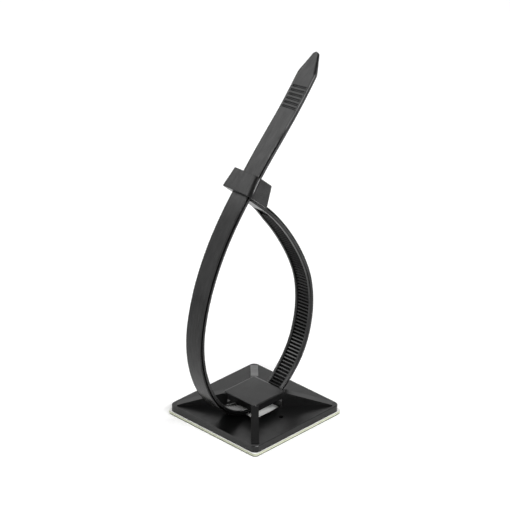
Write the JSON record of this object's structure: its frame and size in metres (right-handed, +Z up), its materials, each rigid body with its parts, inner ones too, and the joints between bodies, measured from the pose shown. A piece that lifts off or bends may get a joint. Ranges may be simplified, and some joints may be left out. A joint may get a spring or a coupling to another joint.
{
  "type": "adhesive cable tie mount",
  "caption": "Square self-adhesive mounting base with a raised, ribbed bridge, and a ratchet cable tie threaded under the bridge and drawn into a loop.",
  "frame": {"origin": "centre of the adhesive pad's lower face, so z = 0 is the surface the mount sticks to", "axes": "+Z up, away from the surface; +X along the strap's run under the bridge, from the loop's side towards the side the tail leans to; +Y across the strap's width"},
  "size_m": [0.0412, 0.0286, 0.0842],
  "materials": {
    "base_plastic": "satin",
    "foam_tape": "matte",
    "tie_nylon": "satin"
  },
  "bodies": {
    "root": {"mount_base": "base_plastic", "adhesive_pad": "foam_tape", "cable_tie": "tie_nylon"}
  },
  "joints": []
}
